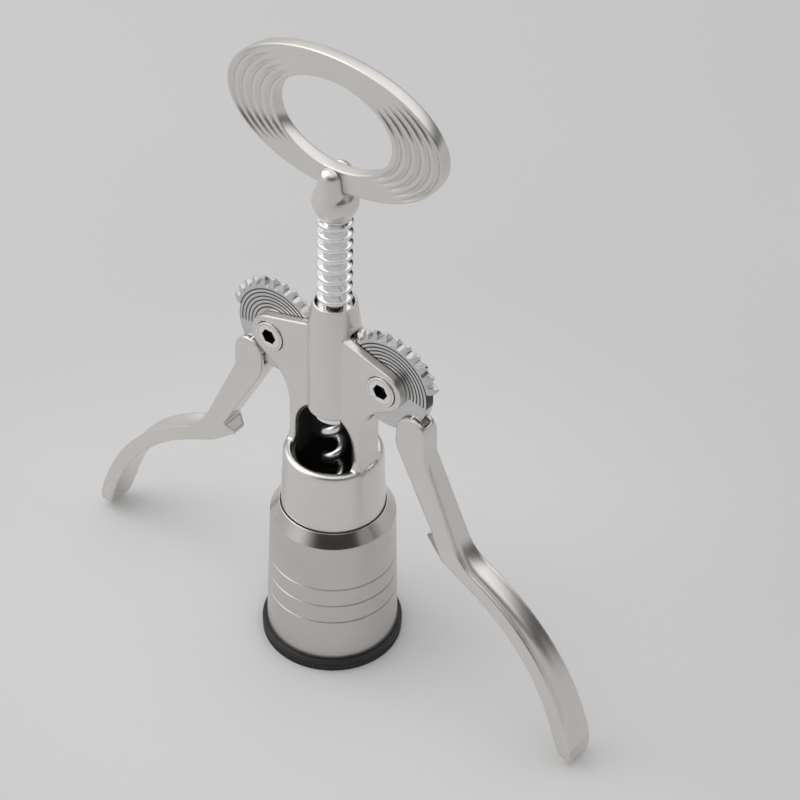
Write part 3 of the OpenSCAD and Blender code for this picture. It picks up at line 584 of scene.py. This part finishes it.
def foot_ring(material):
    """Rubber ring with a ribbed lower band under a smooth bead."""
    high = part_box("foot_ring")[1]
    outer, top = high.x, high.z
    bell_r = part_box("bell")[1].x
    bore_r = bell_r - BELL_WALL
    hole_r = bore_r - LIP_WIDTH
    band = top - BEAD_HEIGHT
    corners = [
        (hole_r, 0, 0.2 * MM),
        (outer - 0.1 * MM, 0, 0.4 * MM),
        (outer - 0.05 * MM, 0.7 * MM, 0),
        (outer - 0.05 * MM, 1.3 * MM, 0),
        (outer - 0.05 * MM, band - 0.2 * MM, 0.2 * MM),
        (outer - 0.5 * MM, band, 0.1 * MM),
        (outer - 0.45 * MM, band + 0.25 * MM, 0.1 * MM),
        (outer, band + 0.5 * MM, 0.5 * MM),
        (outer, top, 1.2 * MM),
        (bell_r + LIP_PLAY, top - 0.1 * MM, 0.1 * MM),
        (bell_r + LIP_PLAY, SOLE, 0),
        (bore_r - LIP_PLAY, SOLE, 0),
        (bore_r - LIP_PLAY, SOLE + LIP_HEIGHT, 0.2 * MM),
        (hole_r, SOLE + LIP_HEIGHT, 0.2 * MM),
    ]
    path = rounded_path(corners)

    def ribs(a, r, z):
        if z > band - 0.1 * MM or z < 0.3 * MM or r < outer - 0.4 * MM:
            return r
        return r - RIB_DEPTH * (0.5 + 0.5 * cos(FOOT_RIBS * a))

    segments = FOOT_RIBS * COLUMNS_PER_RIB
    points = revolved(path, segments, ribs)
    faces = grid_faces(len(path), segments, close_rows=True)
    add_piece("ribbed_foot", points, faces, material, "bell", "foot_ring")


# ---- Arms ----

# The arms' side view, in millimetres from the pivot, or for TIP from the bell's axis and the
# floor
HEAD_REACH = 16.9
HEAD_ANGLE = radians(50.2)
HEAD_R = 5.7
HEAD_DROP = 1.25 * HEAD_R
HEAD_CORNER_R = 8
LEG_SLOPE = radians(65.4)
LEDGE_OUT = 21.8
LEDGE_DOWN = 49.1
KNEE_R = 20
GRIP_START = (4.3, -9.5)
GRIP_SLOPE = radians(26.7)
GRIP_T = 5.5
GRIP_BEND_R = 74
TIP = (104.6, 2)
TIP_SLOPE = radians(69)
# Their thickness: half of it at the head, and how it flares from there down
ARM_HEAD_HALF = 3.6
ARM_FLARE = radians(1.75)
# Points of the outer edge: how far apart they are, and the least step from knee to grip
EDGE_STEP = 0.8
EDGE_GAP = 0.3
# The hollow on the outer edge: where it lies, and how far its two ends run out
HOLLOW_DEPTH = 1.6
HOLLOW_TOP_Z = 101
HOLLOW_RUN = 9
HOLLOW_LIP = 0.7
HOLLOW_STEPS = 20
TIP_RUN = 14
TIP_LEFT = 6.5
# Broken corners and foot of the strip that holds it, as distances inward and down
LIP_CORNERS = ((0, 0.8), (0.2, 0.2))
STRIP_FOOT = (0.3, 3.8)
# The strip cut away for it: over the edge, under it and past each side
CUT_OVER = 2.5
CUT_UNDER = 2.4
CUT_ASIDE = 2
# Rounding of the tips
TIP_SOFT_Z = 11 * MM
TIP_CORNER = 3.2 * MM
TIP_END_R = 6.5 * MM
TIP_DROP = 1.3 * MM
TIP_DROP_RUN = 12 * MM
TIP_SPARE = 0.3 * MM
# Softening of the cast pieces
WELD = 1e-6
VOXEL = 0.28 * MM
SMOOTHING = 0.5
ARM_PASSES = 10
BODY_PASSES = 5
HUB_PASSES = 8
TIP_PASSES = 30


def closed_loft(name, rows):
    """Solid whose cross-sections are the given rows of points."""
    count = len(rows[0])
    points = [point for row in rows for point in row]
    faces = grid_faces(len(rows), count)
    faces += [list(range(count))[::-1], list(range(len(points) - count, len(points)))]
    mesh = bpy.data.meshes.new(name)
    mesh.from_pydata(points, [], faces)
    solid = bmesh.new()
    solid.from_mesh(mesh)
    bmesh.ops.recalc_face_normals(solid, faces=solid.faces)
    solid.to_mesh(mesh)
    solid.free()
    return linked(name, mesh)


def softened(node_name, body, material, passes, cuts=(), shape=None, chosen=None):
    """Copy of a cast piece, cut and filled as asked, with all its edges softened.

    shape(point) may move each point, and the points that chosen(point) picks are softened more.
    """
    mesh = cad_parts[node_name].data.copy()
    welded = bmesh.new()
    welded.from_mesh(mesh)
    bmesh.ops.remove_doubles(welded, verts=welded.verts, dist=WELD)
    welded.to_mesh(mesh)
    welded.free()
    source = linked(node_name + "_source", mesh)

    def add_remesh():
        remesh = source.modifiers.new("remesh", "REMESH")
        remesh.mode = "VOXEL"
        remesh.voxel_size = VOXEL

    add_remesh()
    for operand, operation in cuts:
        join = source.modifiers.new(operation, "BOOLEAN")
        join.operation = operation
        join.object = operand
        join.solver = "EXACT"
    if cuts:
        add_remesh()
    smooth = source.modifiers.new("smooth", "SMOOTH")
    smooth.factor = SMOOTHING
    smooth.iterations = passes
    bpy.context.view_layer.update()
    evaluated = source.evaluated_get(bpy.context.evaluated_depsgraph_get())
    soft = bpy.data.meshes.new_from_object(evaluated)
    for used in [source] + [operand for operand, operation in cuts]:
        bpy.data.objects.remove(used)
    if shape:
        for vertex in soft.vertices:
            vertex.co = shape(vertex.co)
    if chosen:
        rounder = bmesh.new()
        rounder.from_mesh(soft)
        area = [v for v in rounder.verts if chosen(v.co)]
        axes = {"use_axis_" + axis: True for axis in "xyz"}
        for _ in range(TIP_PASSES):
            bmesh.ops.smooth_vert(rounder, verts=area, factor=SMOOTHING, **axes)
        rounder.to_mesh(soft)
        rounder.free()
    show_piece(node_name + "_shape", soft, material, body, node_name)


def downhill(slope):
    """Direction in the X-Z plane that falls towards +X by the angle slope."""
    return Vector((cos(slope), -sin(slope)))


def meet(p, u, q, v):
    """Where the line from p along u crosses the line from q along v."""
    return p + u * ((q - p).x * v.y - (q - p).y * v.x) / (u.x * v.y - u.y * v.x)


def corner_arc(a, b, c, r, steps):
    """Points of the arc with radius r that rounds the corner b between a and c."""
    u, v = (a - b).normalized(), (c - b).normalized()
    half = u.angle(v) / 2
    centre = b + (u + v).normalized() * (r / sin(half))
    start = b + u * (r / tan(half)) - centre
    end = b + v * (r / tan(half)) - centre
    sweep = start.angle_signed(end)
    return [centre + Matrix.Rotation(-sweep * k / steps, 2) @ start for k in range(steps + 1)]


def arm_edge(pivot_x, pivot_z):
    """Outer edge of the right arm, from its head to its tip, as points in millimetres."""
    pivot = Vector((pivot_x, pivot_z)) / MM
    head = pivot + HEAD_REACH * downhill(HEAD_ANGLE)
    leg_outer = head + Vector((HEAD_R, -HEAD_DROP))
    grip_over = pivot + Vector((LEDGE_OUT, -LEDGE_DOWN)) + Vector(GRIP_START)
    grip_over += GRIP_T * Vector((sin(GRIP_SLOPE), cos(GRIP_SLOPE)))
    tip = Vector(TIP) + Vector((GRIP_T / 2 / sin(TIP_SLOPE), 0))
    knee = meet(leg_outer, downhill(LEG_SLOPE), grip_over, downhill(GRIP_SLOPE))
    bend = meet(grip_over, downhill(GRIP_SLOPE), tip, downhill(TIP_SLOPE))
    points = [head + Vector((HEAD_R, 0))]
    points += corner_arc(points[0], leg_outer, knee, HEAD_CORNER_R, steps=12)
    points += corner_arc(leg_outer, knee, bend, KNEE_R, steps=24)
    grip = corner_arc(knee, bend, tip, GRIP_BEND_R + GRIP_T, steps=60)
    points += [q for q in grip if q.x > points[-1].x + EDGE_GAP]
    points.append(tip)
    return points, head.y


def arm_piece(node_name, side, material, pivot_x, pivot_z):
    """Softened copy of an arm whose outer face is one smooth hollow from head to tip."""
    edge, head_z = arm_edge(pivot_x, pivot_z)
    path = []
    for a, b in zip(edge, edge[1:]):
        count = max(1, round((b - a).length / EDGE_STEP))
        path += [a.lerp(b, k / count) for k in range(count)]
    path.append(edge[-1])
    path = [q for q in path if q.y < HOLLOW_TOP_Z and (q - edge[-1]).length > TIP_LEFT]
    length = [0.0]
    for a, b in zip(path, path[1:]):
        length.append(length[-1] + (b - a).length)

    def loft(name, section):
        rows = []
        for k, q in enumerate(path):
            along = path[min(k + 1, len(path) - 1)] - path[max(k - 1, 0)]
            out = Vector((-along.y, along.x)).normalized()
            half = ARM_HEAD_HALF + (head_z - q.y) * tan(ARM_FLARE)
            fade = min(1, length[k] / HOLLOW_RUN) * min(1, (length[-1] - length[k]) / TIP_RUN)
            fade = eased(fade)
            rows.append([
                ((q.x + h * out.x) * side * MM, y * MM, (q.y + h * out.y) * MM)
                for y, h in section(half, fade)
            ])
        return closed_loft(name, rows)

    def cut_section(half, _fade):
        side_y = half + CUT_ASIDE
        over = [(-side_y, CUT_OVER), (side_y, CUT_OVER)]
        return over + [(side_y, -CUT_UNDER), (-side_y, -CUT_UNDER)]

    def strip_section(half, fade):
        corners = [(half - inward, -down) for inward, down in LIP_CORNERS]
        lip = half - HOLLOW_LIP
        hollow = []
        for k in range(HOLLOW_STEPS + 1):
            y = lip * (1 - k / (HOLLOW_STEPS / 2))
            hollow.append((y, -HOLLOW_DEPTH * fade * (1 - (y / lip) ** 2)))
        mirrored = [(-y, h) for y, h in reversed(corners)]
        foot = half - STRIP_FOOT[0]
        return corners + hollow + mirrored + [(-foot, -STRIP_FOOT[1]), (foot, -STRIP_FOOT[1])]

    cutter = loft("cutter", cut_section)
    filling = loft("filling", strip_section)
    low_z = TIP[1] * MM
    full = (ARM_HEAD_HALF + (head_z - TIP[1]) * tan(ARM_FLARE)) * MM

    def rounded_tip(point):
        """Lowers the tip a little and draws its sides in to a round end."""
        rise = max(0, point.z - low_z)
        lower = point.z - TIP_DROP * max(0, 1 - rise / TIP_DROP_RUN)
        if rise > TIP_END_R:
            return Vector((point.x, point.y, lower))
        corner = max(0, TIP_CORNER - rise)
        now = full - TIP_CORNER + sqrt(TIP_CORNER**2 - corner**2)
        wanted = full * sqrt(1 - (1 - rise / TIP_END_R) ** 2)
        return Vector((point.x, point.y * min(1, (wanted + TIP_SPARE) / now), lower))

    cuts = ((cutter, "DIFFERENCE"), (filling, "UNION"))
    body = node_name.replace("arm", "lever")
    softened(
        node_name, body, material, ARM_PASSES, cuts, rounded_tip, lambda q: q.z < TIP_SOFT_Z
    )


# ---- All pieces ----


def dress_nodes():
    """Gives every node its material, and makes the finer pieces that stand for some of them."""
    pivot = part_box("pivot_screws")
    pivot_x = pivot[1].x - SCREW_HEAD_R
    pivot_z = (pivot[0].z + pivot[1].z) / 2
    casting = satin_casting()
    bright = polished()
    rubber = black_rubber()
    plastic = black_plastic()
    head = screw_head(pivot_x, pivot_z)
    looks = {
        "body": casting,
        "pivot_screws": head,
        "pivot_sleeves": casting,
        "handle_ring": casting,
        "right_arm": casting,
        "left_arm": casting,
        "bell": turned_bell(),
        "foot_ring": rubber,
        "friction_ring": rubber,
        "neck_guide": plastic,
        "rack": bright,
        "stop_collar": bright,
        "thrust_washer": bright,
        "spindle": bright,
        "worm": bright,
        "hub": casting,
        "hub_pin": bright,
        "right_lever_pins": bright,
        "left_lever_pins": bright,
        "right_gear": gear_plate("right_gear_plate", pivot_x, pivot_z),
        "left_gear": gear_plate("left_gear_plate", -pivot_x, pivot_z),
    }
    for name, look in looks.items():
        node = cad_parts[name]
        node.data.materials.clear()
        node.data.materials.append(look)
    handle_ring(casting)
    rack_sleeve(bright, pivot_z)
    smooth_worm(polished("worm_steel", 0.24, 0.32))
    foot_ring(rubber)
    arm_piece("right_arm", 1, casting, pivot_x, pivot_z)
    arm_piece("left_arm", -1, casting, pivot_x, pivot_z)
    softened("body", "frame", casting, BODY_PASSES)
    softened("hub", "screw", casting, HUB_PASSES)


# ---- Stage ----

FLOOR_SIZE = 6.0
# Where the painted pool of light on the floor round the corkscrew ends, and its colour
LIGHT_POOL_SPAN = (0.04, 0.22)
LIGHT_POOL_COLOUR = grey(0.715, 0.0)
# How bright the studio is to the left, on its dim side and overhead, and where the dim side lies
LEFT_LEVEL = 0.86
DIM_LEVEL = 0.02
TOP_LEVEL = 1.1
DIM_TURN = radians(-25)
# Pale wall low down all round
WALL_LEVEL = 0.6
# How much lower the bright overhead part comes down behind the corkscrew and to its right
BACK_LIFT = 0.2
SIDE_LIFT = 0.45
# Where each change starts and ends, as how much of a direction lies along the change's axis
DIM_SPAN = (-0.6, 0.0)
OVERHEAD_SPAN = (0.6, 0.88)
BACK_SPAN = (0.2, 0.5)
SIDE_SPAN = (0.85, 0.97)
WALL_SPAN = (0.18, 0.28)
# Even light that the floor and the dark pieces get from all around
SOFT_LEVEL = 0.76
# The one large lamp, over the left front
KEY_PLACE = (-0.9, -0.45, 1.1)
KEY_AIM = (0, 0, 0.1)
KEY_SIZE = 1.2
KEY_POWER = 5.5


def make_stage():
    bpy.ops.mesh.primitive_plane_add(size=FLOOR_SIZE)
    floor = bpy.context.object
    floor.name = "floor"
    m = Material("studio_floor", Roughness=0.8)
    cloud = m.noise(m.coordinates, 8.0)
    pale = m.mix(cloud, (0.615, 0.615, 0.617, 1), (0.635, 0.635, 0.637, 1))
    reach = m.vector("LENGTH", m.coordinates)["Value"]
    # Painted light: the floor is paler near the corkscrew, fading out to its even colour.
    m.feed("Base Color", m.mix(m.step(reach, *LIGHT_POOL_SPAN), LIGHT_POOL_COLOUR, pale))
    floor.data.materials.append(m.material)


def make_key():
    data = bpy.data.lights.new("key", "AREA")
    data.energy = KEY_POWER
    data.size = KEY_SIZE
    lamp = linked("key", data)
    lamp.location = KEY_PLACE
    lamp.rotation_mode = "QUATERNION"
    lamp.rotation_quaternion = (Vector(KEY_AIM) - Vector(KEY_PLACE)).to_track_quat("-Z", "Y")


def make_light():
    """A pale studio: bright overhead and to the left, dim to the right, with a low pale wall.

    Camera, metal and glass see all of it, and other surfaces get an even light instead.
    """
    world = bpy.data.worlds.new("studio")
    bpy.context.scene.world = world
    world.use_nodes = True
    sky = Graph(world.node_tree)

    def part(axis, span, low, high):
        return sky.step(sky.vector("DOT_PRODUCT", direction, axis)["Value"], *span, low, high)

    direction = sky.node("ShaderNodeTexCoord").outputs["Generated"]
    rise = sky.split(direction)[2]
    dim_side = (cos(CAMERA_AZIMUTH + DIM_TURN), sin(CAMERA_AZIMUTH + DIM_TURN), 0)
    low = part(dim_side, DIM_SPAN, LEFT_LEVEL, DIM_LEVEL)
    height = sky.math("ADD", rise, part((0, 1, 0), BACK_SPAN, 0.0, BACK_LIFT))
    height = sky.math("ADD", height, part((1, 0, 0), SIDE_SPAN, 0.0, SIDE_LIFT))
    above = sky.step(height, *OVERHEAD_SPAN)
    low = sky.math("MULTIPLY", low, sky.math("SUBTRACT", 1.0, above))
    level = sky.math("ADD", low, sky.math("MULTIPLY", above, TOP_LEVEL))
    wall = sky.step(rise, *WALL_SPAN, 1.0, 0.0)
    level = sky.between(wall, level, WALL_LEVEL)
    rays = sky.node("ShaderNodeLightPath").outputs
    seen = sky.math("ADD", rays["Is Camera Ray"], rays["Is Glossy Ray"])
    seen = sky.math("ADD", seen, rays["Is Transmission Ray"])
    background = sky.tree.nodes["Background"]
    background.inputs["Color"].default_value = (1, 1, 1, 1)
    strength = sky.between(seen, SOFT_LEVEL, level)
    sky.tree.links.new(strength, background.inputs["Strength"])
    make_key()


make_camera()
make_stage()
make_light()
dress_nodes()

bpy.context.scene.view_settings.view_transform = "Standard"
